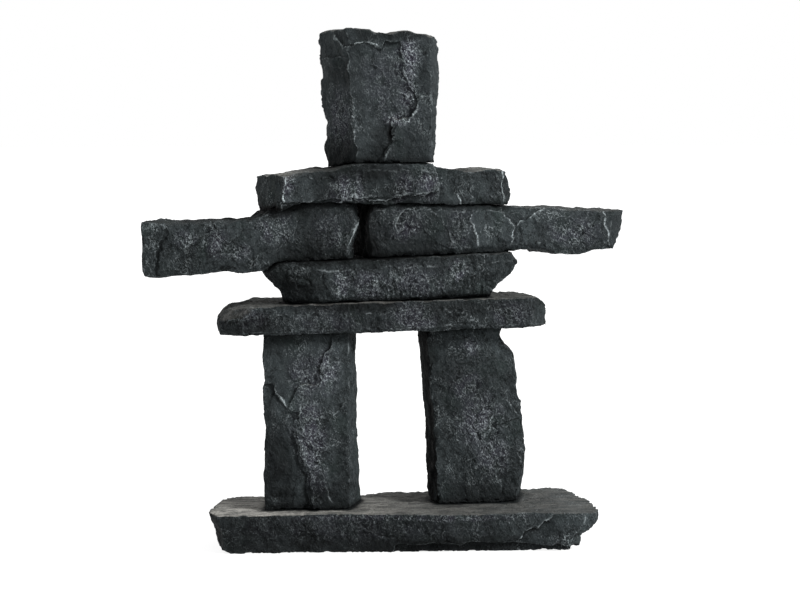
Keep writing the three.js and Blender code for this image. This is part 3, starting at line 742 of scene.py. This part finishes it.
def ledge_relief(stone, ledge, flat, size, places):
    """The rise of one ledge, the worn line along its edge, and the painted highlight and painted shadow to
    both sides of it.
    """
    wander = LEDGE_WANDER.push(stone, places, 2)
    path = np.array(ledge.path) * size
    signed, along, length = path_distance(flat * size + 1.8 * wander, path)
    proud = signed * np.sign(ledge.rise)
    ends = ramp(along, 0.0, 4.0) * ramp(length - along, 0.0, 4.0)
    plate = ramp(proud, -0.3, 0.2) * np.exp(-np.maximum(proud, 0.0) / ledge.reach)
    rise = abs(ledge.rise) * ends * plate
    broken = LEDGE_BREAKS.at(stone, places) + 0.45 * ledge.worn
    worn = 0.85 * ledge.worn * ends * ramp(broken, 0.15, 0.7) * np.exp(-((proud - 0.2) ** 2) / 0.1)
    # Painted light: the proud side lightened as if lit, the low side darkened as its shadow
    above = 0.2 * np.exp(-np.maximum(proud, 0.0) / 5.0)
    below = -0.5 * np.exp(np.minimum(proud, 0.0) / 1.6)
    return rise, worn, 1.0 + ends * min(1.0, abs(ledge.rise)) * np.where(proud > 0.0, above, below)


def patch(spot, flat, edge):
    """1 inside a spot and 0 outside it, with an uneven border."""
    offset = (flat - spot.centre) / spot.radius
    return ramp(1.4 - np.hypot(offset[:, 0], offset[:, 1]) + edge, 0.0, 1.05)


class Spots(NamedTuple):
    """What is known of every vertex before the surface is carved, with distances in millimetres."""

    places: np.ndarray
    normals: np.ndarray
    to_arris: np.ndarray
    to_outline: np.ndarray
    to_neighbour: np.ndarray
    facing: np.ndarray
    seen: np.ndarray


def front_features(stone, spots):
    """The ledges and patches on the front: their rise, worn edges, flecks, and brightness with its painted
    light and shade.
    """
    flat, size = shares_of(stone, spots.places)
    craggy = crags(spots.places, stone.seed + FEATURE_STEP)
    border = 0.45 * PATCH_BORDER.at(stone, spots.places)
    rise = np.zeros(len(flat))
    worn = np.zeros(len(flat))
    flecks = np.zeros(len(flat))
    light = np.ones(len(flat))
    for ledge in stone.ledges:
        ledge_rise, ledge_worn, ledge_light = ledge_relief(stone, ledge, flat, size, spots.places)
        rise += ledge_rise
        worn = np.maximum(worn, ledge_worn)
        # Painted highlight and painted shadow beside each ledge
        light *= 1.0 + (ledge_light - 1.0) * spots.facing
    for rough in stone.roughs:
        inside = patch(rough, flat, border)
        rise += rough.depth * inside * (1.1 * craggy - 0.5)
        flecks = np.maximum(flecks, rough.flecks * inside)
    # Painted shade in recesses, gaps and under overhangs, and painted light on lit faces and tops
    for shade in stone.shades:
        light *= 1.0 - shade.amount * patch(shade, flat, border) * spots.seen
    return rise * spots.facing, worn * spots.facing, flecks * spots.facing, light


def plates(stone, places):
    """The height in sheets of the stepped plates, and a tone from 0 to 1 for each."""
    warped = places + 3.0 * PLATE_WARP.push(stone, places)
    contours = 2.6 * PLATE_HEIGHTS.at(stone, warped)
    whole = np.floor(contours)
    return whole + ramp(contours - whole, 0.9, 1.0), np.mod(whole * 0.618 + 0.3, 1.0)


def across_sheets(stone):
    """The unit direction across the stone's sheets."""
    return np.array(stone.sheets) / np.linalg.norm(stone.sheets)


def on_sheet(stone, normals):
    """1 on the faces of the sheets, and 0 on their broken edges."""
    return ramp(np.abs(normals @ across_sheets(stone)), 0.45, 0.85)


def along_sheets(stone, places, length, thickness, step, falloff):
    """Noise in layers that follow the sheets, of a length and a thickness in millimetres."""
    across = across_sheets(stone)
    depth_in = places @ across + 1.3 * SHEET_WANDER.at(stone, places)
    in_plane = places - np.outer(places @ across, across)
    drawn_out = in_plane / length + np.outer(depth_in / thickness, across)
    return layered_noise(drawn_out, stone.seed + step, 2, falloff)


def split_relief(stone, spots, depths):
    """The relief that splitting leaves all over: swell, stepped sheets, layers, ripples and hackle."""
    places = spots.places
    sheet = on_sheet(stone, spots.normals)
    rise = depths.swell * SWELL.at(stone, places)
    rise += depths.facet * (crags(places / 2.3, stone.seed + FACET_STEP) - 0.2)
    rise += sheet * depths.sheet * plates(stone, places)[0]
    layers = along_sheets(stone, places, 26.0, 1.7, LAMINATION_STEP, 0.6)
    rise += (1.0 - sheet) * depths.lamination * layers
    ripples = 0.5 - np.abs(RIPPLES.at(stone, places))
    rise += 1.4 * stone.ripple * ripples * np.abs(spots.normals @ FRONT)
    patches = ramp(HACKLE_PATCHES.at(stone, places), -0.1, 0.5)
    rise += stone.hackle * patches * (crags(places, stone.seed + HACKLE_STEP) - 0.2)
    rise += depths.grit * (0.4 + patches) * GRIT.at(stone, places)
    return rise


def bites(stone, spots):
    """How deep the arrises are chipped, 0 to about 1.3: a few broad bites and many crumbs."""
    broad = ramp(BROAD_BITES.at(stone, spots.places), 0.12, 0.3) * (1.0 - ramp(spots.to_arris, 0.0, 2.4))
    crumbs = ramp(CRUMBS.at(stone, spots.places), 0.05, 0.3) * (1.0 - ramp(spots.to_arris, 0.0, 1.1))
    return 0.9 * broad + 0.5 * crumbs


def lay_on_solid(stone, surface):
    """Lays the surface on its solid, evens its faces out, and measures it."""
    low, high = box_of(stone.node)
    fitted, to_arris = Arrises(stone.node).fit(surface.places, surface.spacing)
    to_outline = np.minimum(fitted - low, high - fitted)[:, (0, 2)].min(axis=1)
    loose = np.maximum(to_arris > 1.0, stone.softness * ramp(to_outline, 4.0, 8.0))[:, None]
    surface.places = fitted + loose * (surface.smooth(fitted, 8) - fitted)
    normals = surface.smooth(surface.normals(), 5)
    normals /= np.linalg.norm(normals, axis=1, keepdims=True)
    places = surface.places.copy()
    return Spots(
        places=places,
        normals=normals,
        to_arris=to_arris,
        to_outline=to_outline,
        to_neighbour=gap_to_neighbours(places, stone.node),
        facing=ramp(normals @ FRONT, 0.15, 0.5),
        seen=ramp(normals @ VIEWED_FROM, 0.05, 0.35),
    )


def carve(stone, surface, depths):
    """Moves the surface to its broken relief, and writes what the material needs to know of it."""
    spots = lay_on_solid(stone, surface)
    gap = spots.to_neighbour
    feature_rise, worn, flecks, light = front_features(stone, spots)
    rise = split_relief(stone, spots, depths) + feature_rise
    rise = np.where(rise > 0.0, rise * ramp(gap, 0.4, 2.5), rise * (0.5 + 0.5 * ramp(gap, 0.5, 2.5)))
    rise *= 0.45 + 0.55 * ramp(spots.to_arris, 0.0, 2.5)
    rise -= depths.chip * stone.chips * bites(stone, spots)
    reach = depths.drift * (1.0 + 1.8 * ramp(spots.to_outline, 2.0, 8.0)) * ramp(gap, 0.3, 3.0)
    shift = reach[:, None] * DRIFT.push(stone, spots.places)
    surface.places = np.clip(spots.places + shift + rise[:, None] * spots.normals, *box_of(stone.node))
    write_wear(stone, surface, spots, worn, flecks)
    write_light(stone, surface, spots, light)
    surface.store()


def write_wear(stone, surface, spots, worn, flecks):
    """Writes where the stone is bruised, its hollows for painted shade, its flecks, partly painted glints,
    and the tone of its plates.
    """
    fine = surface.crease(4)
    broad = surface.crease(30)
    busy = np.maximum(flecks, 0.7 * ramp(FLECKED_SPOTS.at(stone, spots.places), 0.0, 0.5))
    stretches = ramp(WORN_STRETCHES.at(stone, spots.places), -0.05, 0.5)
    edges = np.exp(-((spots.to_arris / 0.4) ** 2)) * stretches
    ridges = ramp(fine, 0.05, 0.2) * (0.06 + 0.94 * busy)
    surface.write("ridges", ramp(fine, 0.02, 0.16))
    surface.write("worn", np.clip(np.maximum(worn, 0.25 * ridges + 0.4 * edges), 0.0, 1.0))
    # Painted shade in creases and hollows
    surface.write("hollow_shade", np.clip(ramp(-fine, 0.03, 0.2) + ramp(-broad, 0.15, 0.8), 0.0, 1.0))
    surface.write("flecks", np.clip(busy, 0.0, 1.0))
    surface.write("rough", np.clip(flecks, 0.0, 1.0))
    surface.write("plate", plates(stone, spots.places)[1])


def layer_light(stone, spots):
    """The brightness of pale and dark layers on the edges of the sheets, weaker on hidden sides."""
    bands = along_sheets(stone, spots.places, 45.0, 9.0, BAND_STEP, 0.7)
    contrast = (1.0 - on_sheet(stone, spots.normals)) * stone.layers
    light = 1.0 + contrast * (ramp(bands, 0.0, 0.25) - ramp(-bands, -0.05, 0.2))
    light = np.maximum(light, 0.1)
    front_side = box_of(stone.node)[0][1]
    behind = ramp(spots.places[:, 1], front_side + 6.0, front_side + 30.0)
    shown = np.maximum(spots.seen * (1.0 - 0.7 * behind), 0.15)
    return 1.0 + (light - 1.0) * shown


def write_light(stone, surface, spots, light):
    """Writes the dark joints and painted shade, the brightness with painted light and shade, and the dusting
    and painted top light.
    """
    low, high = box_of(stone.node)
    # Dark joints and painted shade: darker within a few millimetres of the touching stones, under overhangs
    # and between the arms
    uneven = spots.to_neighbour + 1.8 * JOINT_BORDER.at(stone, spots.places)
    surface.write("joint_shade", 1.0 - ramp(uneven, 0.5, 4.6))
    # Brightness: the painted light and shade of the patches and ledges, times the pale and dark layers
    surface.write("light", light * layer_light(stone, spots))
    # Dusting and painted light make open tops paler, left to right as given; none beside the touching stones,
    # which leaves painted shade there
    along = (spots.places[:, 0] - low[0]) / (high[0] - low[0])
    dust_and_top_light = np.interp(along, np.linspace(0.0, 1.0, len(stone.dust_and_top_light)), stone.dust_and_top_light)
    surface.write("dust_and_top_light", ramp(spots.normals[:, 2], 0.5, 0.9) * dust_and_top_light * ramp(spots.to_neighbour, 0.8, 4.0))


# Shader nodes
class Wire:
    """A shader socket that works in Python expressions: each operator adds a Math node."""

    def __init__(self, wiring, socket):
        self.wiring = wiring
        self.socket = socket

    def maths(self, operation, first, second):
        return self.wiring.node("ShaderNodeMath", {"operation": operation}, {0: first, 1: second})

    def __add__(self, other):
        return self.maths("ADD", self, other)

    def __sub__(self, other):
        return self.maths("SUBTRACT", self, other)

    def __rsub__(self, other):
        return self.maths("SUBTRACT", other, self)

    def __mul__(self, other):
        return self.maths("MULTIPLY", self, other)

    __radd__ = __add__
    __rmul__ = __mul__


class Wiring:
    """The nodes of one material."""

    def __init__(self, name):
        self.material = bpy.data.materials.new(name)
        self.material.use_nodes = True
        self.tree = self.material.node_tree
        self.tree.nodes.clear()

    def node(self, kind, settings=None, inputs=None, output=0):
        """A node with its settings made first, then its sockets given values or links."""
        node = self.tree.nodes.new(kind)
        for name, value in (settings or {}).items():
            setattr(node, name, value)
        for name, value in (inputs or {}).items():
            if isinstance(value, Wire):
                self.tree.links.new(value.socket, node.inputs[name])
            else:
                node.inputs[name].default_value = value
        return Wire(self, node.outputs[output])

    def speckle(self, place, size, detail=2.0, roughness=0.5, stretch=None, turn=0.0):
        """Noise with features of a size in millimetres, turned in the front plane, then stretched."""
        if turn:
            rotation = (0.0, math.radians(turn), 0.0)
            place = self.node("ShaderNodeMapping", {}, {"Vector": place, "Rotation": rotation})
        if stretch:
            place = self.node("ShaderNodeMapping", {}, {"Vector": place, "Scale": stretch})
        scale = 1.0 / (size * MM)
        inputs = {"Vector": place, "Scale": scale, "Detail": detail, "Roughness": roughness}
        return self.node("ShaderNodeTexNoise", {}, inputs, "Fac")

    def between(self, value, low, high):
        """0 below low, 1 above high."""
        inputs = {"Value": value, "From Min": low, "From Max": high}
        return self.node("ShaderNodeMapRange", {"interpolation_type": "SMOOTHSTEP"}, inputs)

    def blend(self, amount, first, second):
        """A colour between two, by an amount."""
        return self.node("ShaderNodeMix", {"data_type": "RGBA"}, {0: amount, 6: first, 7: second}, 2)

    def scale(self, colour, amount):
        """A colour made brighter or darker by a factor."""
        return self.node("ShaderNodeVectorMath", {"operation": "SCALE"}, {0: colour, "Scale": amount})

    def attribute(self, name):
        """A number that the mesh carries."""
        return self.node("ShaderNodeAttribute", {"attribute_name": name}, {}, "Fac")

    def finish(self, skin):
        """The material, with its surface wired to its output."""
        output = self.tree.nodes.new("ShaderNodeOutputMaterial")
        self.tree.links.new(skin.socket, output.inputs["Surface"])
        return self.material


# How far the grain leans to the left, in degrees from upright
GRAIN_LEAN = 24.0


def rgba(colour):
    """A colour setting as a socket takes it."""
    return (*colour, 1.0)


class Grains(NamedTuple):
    """The fine textures of slate."""

    grain: Wire
    streak: Wire
    grit: Wire
    fine: Wire
    crests: Wire


def slate_grains(w, place):
    """Streaks and grit along the grain, and the thin crests of small fractures."""
    grain = w.speckle(place, 1.8, 4.0, 0.65, stretch=(1.0, 1.0, 0.5), turn=GRAIN_LEAN)
    streak = w.speckle(place, 1.0, 2.0, 0.6, stretch=(1.0, 1.0, 0.6), turn=GRAIN_LEAN)
    grit = w.speckle(place, 0.75, 2.0, 0.6)
    fine = w.speckle(place, 0.65, 1.0, 0.5, stretch=(1.0, 1.0, 0.6), turn=GRAIN_LEAN)
    crinkle = w.speckle(place, 4.5, 3.0, 0.55, stretch=(1.0, 1.0, 0.7), turn=GRAIN_LEAN) - 0.5
    crests = (1.0 - w.between(crinkle * crinkle, 0.0, 0.0007)) * w.between(streak, 0.42, 0.6)
    return Grains(grain, streak, grit, fine, crests)


def fresh_colour(w, place, grains, look, tone):
    """Slate before wear: mottled, plated, and tinted green and violet in patches."""
    cloud = w.speckle(place, 34.0, 4.0, 0.6)
    mottle = cloud * 0.25 + grains.grain * 0.4 + grains.grit * 0.35 + w.attribute("plate") * 0.1
    colour = w.blend(w.between(mottle + (tone - 0.5) * 0.12, 0.43, 0.61), rgba(look.dark), rgba(look.mid))
    greenish = w.between(w.speckle(place, 19.0, 3.0), 0.5, 0.72) * 0.5
    colour = w.blend(greenish, colour, rgba(look.green))
    patches = w.between(w.speckle(place, 8.0, 3.0), 0.35, 0.6)
    return w.blend(w.attribute("rough") * patches * 0.7, colour, rgba(look.violet))


def dust_and_top_light_cover(w, place, grains):
    """How much of the stone its dusting and painted top light hide, in streaks along its length."""
    streaks = w.between(w.speckle(place, 5.0, 5.0, 0.7, stretch=(0.3, 1.0, 1.0)), 0.4, 0.6)
    broken = w.between(grains.grit * 0.5 + grains.grain * 0.5, 0.36, 0.56)
    return w.attribute("dust_and_top_light") * (streaks * 0.65 + 0.4) * (broken * 0.5 + 0.5)


def slate(name, look, tone):
    """Broken slate: dark, paler where it is bruised, with flecks on its rough patches that are partly painted
    glints, and with painted light and shade.
    """
    w = Wiring(name)
    place = w.node("ShaderNodeTexCoord", {}, {}, "Object")
    grains = slate_grains(w, place)
    # Pale flecks on small crests: partly the slate's own pale flecks, partly painted glints where crests
    # catch light
    spots = w.between(grains.fine, 0.54, 0.68) * (w.attribute("ridges") * 0.6 + 0.3) + grains.crests * 0.6
    flecks = (w.attribute("flecks") * 0.85 + 0.12) * spots * look.flecks
    broken_edge = w.between(grains.grit * 0.5 + grains.grain * 0.5, 0.35, 0.55)
    bruise = w.attribute("worn") * broken_edge * look.bruise

    colour = fresh_colour(w, place, grains, look, tone)
    colour = w.blend(flecks, colour, rgba(look.pale))
    colour = w.blend(bruise, colour, rgba(look.pale))
    # Painted shade in creases and hollows
    colour = w.blend(w.attribute("hollow_shade") * 0.55, colour, rgba(look.dark))
    # Dark joints and painted shade beside the touching stones
    colour = w.blend(w.attribute("joint_shade") * 0.8, colour, rgba(look.dark))
    colour = w.scale(colour, w.attribute("light"))
    # Open tops paler with dusting and painted light
    colour = w.blend(dust_and_top_light_cover(w, place, grains), colour, rgba(look.dusty_lit))

    height = grains.grain * 0.3 + grains.streak * 0.25 + grains.grit * 0.2 + grains.fine * 0.15
    height = height + grains.crests * 0.1
    inputs = {"Strength": 0.9, "Distance": look.grain_depth * MM, "Height": height}
    bump = w.node("ShaderNodeBump", {}, inputs, "Normal")
    roughness = 0.86 - w.between(grains.grain, 0.35, 0.75) * 0.22 - bruise * 0.1
    inputs = {"Base Color": colour, "Roughness": roughness, "Normal": bump}
    inputs["Specular IOR Level"] = look.gloss
    return w.finish(w.node("ShaderNodeBsdfPrincipled", {}, inputs))


# Settings
def setting(name, description, value, **kind):
    """A number that can be set."""
    return FloatProperty(name=name, description=description, default=value, **kind)


def colour_setting(name, description, colour):
    """A colour that can be set."""
    return FloatVectorProperty(name=name, description=description, subtype="COLOR", default=colour)


class StoneSettings(bpy.types.PropertyGroup):
    """Depths of the relief, in millimetres."""

    grain: setting("Grain", "Edge length of the mesh, halved on the front, mm", 0.95)
    swell: setting("Swell", "Slow swelling of every face, mm", 0.7)
    sheet: setting("Sheet", "Thickness of the stepped sheets, mm", 0.45)
    facet: setting("Facet", "Depth of the broad facets, mm", 0.1)
    lamination: setting("Lamination", "Depth of the layers on sheet edges, mm", 0.2)
    grit: setting("Grit", "Depth of the finest relief, mm", 0.22)
    chip: setting("Chip", "Depth of the chips along edges, mm", 0.9)
    drift: setting("Drift", "How far edges wander from straight lines, mm", 0.75)


class SlateSettings(bpy.types.PropertyGroup):
    """Colours and finish of the slate."""

    # Dark is the slate's own darkest colour, and also the colour of painted shade in hollows and beside
    # joints
    dark: colour_setting("Dark", "Slate in its hollows", (0.0033, 0.0042, 0.0043))
    mid: colour_setting("Mid", "Slate on its faces", (0.0161, 0.0197, 0.0209))
    green: colour_setting("Green", "Tint of its green patches", (0.0108, 0.0158, 0.0148))
    violet: colour_setting("Violet", "Tint of its rough patches", (0.0205, 0.0185, 0.0275))
    # Pale colours bruised edges, and flecks that are partly painted glints
    pale: colour_setting("Pale", "Bruised edges and flecks", (0.32, 0.36, 0.37))
    # Colour of dusting and of painted light on open tops
    dusty_lit: colour_setting("Dusty", "Dusty open tops", (0.24, 0.234, 0.217))
    bruise: setting("Bruise", "Strength of the pale edges", 0.85)
    flecks: setting("Flecks", "Strength of the flecks", 0.72)
    gloss: setting("Gloss", "Specular level", 0.06)
    grain_depth: setting("Grain depth", "Depth of the grain, mm", 1.5)


class StageSettings(bpy.types.PropertyGroup):
    """Floor, light and camera."""

    floor_size: setting("Floor", "Side of the floor", 30.0, unit="LENGTH")
    floor_colour: colour_setting("Floor colour", "Floor", (0.25, 0.25, 0.25))
    floor_glow: setting("Floor glow", "Brightness that the floor gives off", 0.84)
    sky: setting("Sky", "Brightness of the surroundings", 1.0)
    key: setting("Key light", "Strength of the key light, W/m2", 5.5)
    key_turn: setting("Key turn", "Key light, to the right of the front", math.radians(50.0), subtype="ANGLE")
    key_height: setting("Key height", "Key light, above the floor", math.radians(30.0), subtype="ANGLE")
    key_spread: setting("Key spread", "Softness of the key light", math.radians(14.0), subtype="ANGLE")


class StoneMaker:
    """Makes the surfaces of the stones that an operator names."""

    bl_options = {"REGISTER", "UNDO"}
    stones = ()

    def execute(self, context):
        depths = context.scene.slate_stones
        look = context.scene.slate_look
        grain = depths.grain * 1.0
        for stone in self.stones:
            piece = fine_copy(stone.node, f"{stone.node}_slate", grain)
            carve(stone, Surface(piece.data), depths)
            piece.data.materials.append(slate(f"{stone.node}_skin", look, stone.tone))
            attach(piece, BODY)
            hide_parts(stone.node)
        return {"FINISHED"}


class SLATE_OT_base(StoneMaker, bpy.types.Operator):
    """Makes the base slab"""

    bl_idname = "slate.base"
    bl_label = "Base slab"
    stones = (BASE,)


class SLATE_OT_legs(StoneMaker, bpy.types.Operator):
    """Makes the two leg stones"""

    bl_idname = "slate.legs"
    bl_label = "Legs"
    stones = (LEFT_LEG, RIGHT_LEG)


class SLATE_OT_trunk(StoneMaker, bpy.types.Operator):
    """Makes the hip slab and the waist stone"""

    bl_idname = "slate.trunk"
    bl_label = "Hip and waist"
    stones = (HIP, WAIST)


class SLATE_OT_arms(StoneMaker, bpy.types.Operator):
    """Makes the two arm stones"""

    bl_idname = "slate.arms"
    bl_label = "Arms"
    stones = (LEFT_ARM, RIGHT_ARM)


class SLATE_OT_head(StoneMaker, bpy.types.Operator):
    """Makes the shoulder slab and the head stone"""

    bl_idname = "slate.head"
    bl_label = "Shoulder and head"
    stones = (SHOULDER, HEAD)


# The camera stands 10 degrees to the left of the front and looks down a little
CAMERA_PLACE = Vector((-198.5, -1183.5, 251.4)) * MM
CAMERA_TURN = 10.0
CAMERA_PITCH = 5.163
LENS = 92.0
SENSOR = 36.0


class SLATE_OT_stage(bpy.types.Operator):
    """Makes the floor, the lights and the camera"""

    bl_idname = "slate.stage"
    bl_label = "Stage"
    bl_options = {"REGISTER", "UNDO"}

    def execute(self, context):
        stage = context.scene.slate_stage
        self.floor(context, stage)
        self.sky(context, stage)
        self.light(context, stage)
        self.camera(context)
        return {"FINISHED"}

    def floor(self, context, stage):
        """The white floor, far wider than the view."""
        shape = bmesh.new()
        bmesh.ops.create_grid(shape, x_segments=1, y_segments=1, size=stage.floor_size / 2.0)
        mesh = bpy.data.meshes.new("floor")
        shape.to_mesh(mesh)
        shape.free()
        floor = bpy.data.objects.new("floor", mesh)
        context.scene.collection.objects.link(floor)
        w = Wiring("floor_paint")
        inputs = {
            "Base Color": rgba(stage.floor_colour),
            "Roughness": 0.9,
            "Specular IOR Level": 0.0,
            "Emission Color": (1.0, 1.0, 1.0, 1.0),
            "Emission Strength": stage.floor_glow,
        }
        skin = w.node("ShaderNodeBsdfPrincipled", {}, inputs)
        mesh.materials.append(w.finish(skin))

    def sky(self, context, stage):
        """The even white surroundings."""
        world = bpy.data.worlds.new("studio")
        world.use_nodes = True
        background = world.node_tree.nodes["Background"]
        background.inputs["Color"].default_value = (1.0, 1.0, 1.0, 1.0)
        background.inputs["Strength"].default_value = stage.sky
        context.scene.world = world
        context.scene.view_settings.view_transform = "Standard"

    def light(self, context, stage):
        """The key light, from the right."""
        lamp = bpy.data.lights.new("key_light", "SUN")
        lamp.energy = stage.key
        lamp.angle = stage.key_spread
        holder = bpy.data.objects.new("key_light", lamp)
        holder.rotation_euler = (math.radians(90.0) - stage.key_height, 0.0, stage.key_turn)
        context.scene.collection.objects.link(holder)

    def camera(self, context):
        """The camera that sees the figure as it is photographed."""
        lens = bpy.data.cameras.new("camera")
        lens.lens = LENS
        lens.sensor_width = SENSOR
        camera = bpy.data.objects.new("camera", lens)
        camera.location = CAMERA_PLACE
        camera.rotation_euler = (math.radians(90.0 - CAMERA_PITCH), 0.0, -math.radians(CAMERA_TURN))
        context.scene.collection.objects.link(camera)
        context.scene.camera = camera


MAKERS = (SLATE_OT_base, SLATE_OT_legs, SLATE_OT_trunk, SLATE_OT_arms, SLATE_OT_head, SLATE_OT_stage)


class SLATE_PT_figure(bpy.types.Panel):
    """Lists the makers of the stones and the stage"""

    bl_label = "Slate figure"
    bl_idname = "SLATE_PT_figure"
    bl_space_type = "VIEW_3D"
    bl_region_type = "UI"
    bl_category = "Slate Figure"

    def draw(self, context):
        for maker in MAKERS:
            self.layout.operator(maker.bl_idname)


SETTINGS = {"slate_stones": StoneSettings, "slate_look": SlateSettings, "slate_stage": StageSettings}


def register():
    for kind in (*SETTINGS.values(), *MAKERS, SLATE_PT_figure):
        bpy.utils.register_class(kind)
    for name, kind in SETTINGS.items():
        setattr(bpy.types.Scene, name, PointerProperty(type=kind))


def unregister():
    for name in SETTINGS:
        delattr(bpy.types.Scene, name)
    for kind in reversed((*SETTINGS.values(), *MAKERS, SLATE_PT_figure)):
        bpy.utils.unregister_class(kind)


def main():
    register()
    for maker in MAKERS:
        group, name = maker.bl_idname.split(".")
        getattr(getattr(bpy.ops, group), name)()


if __name__ == "__main__":
    main()
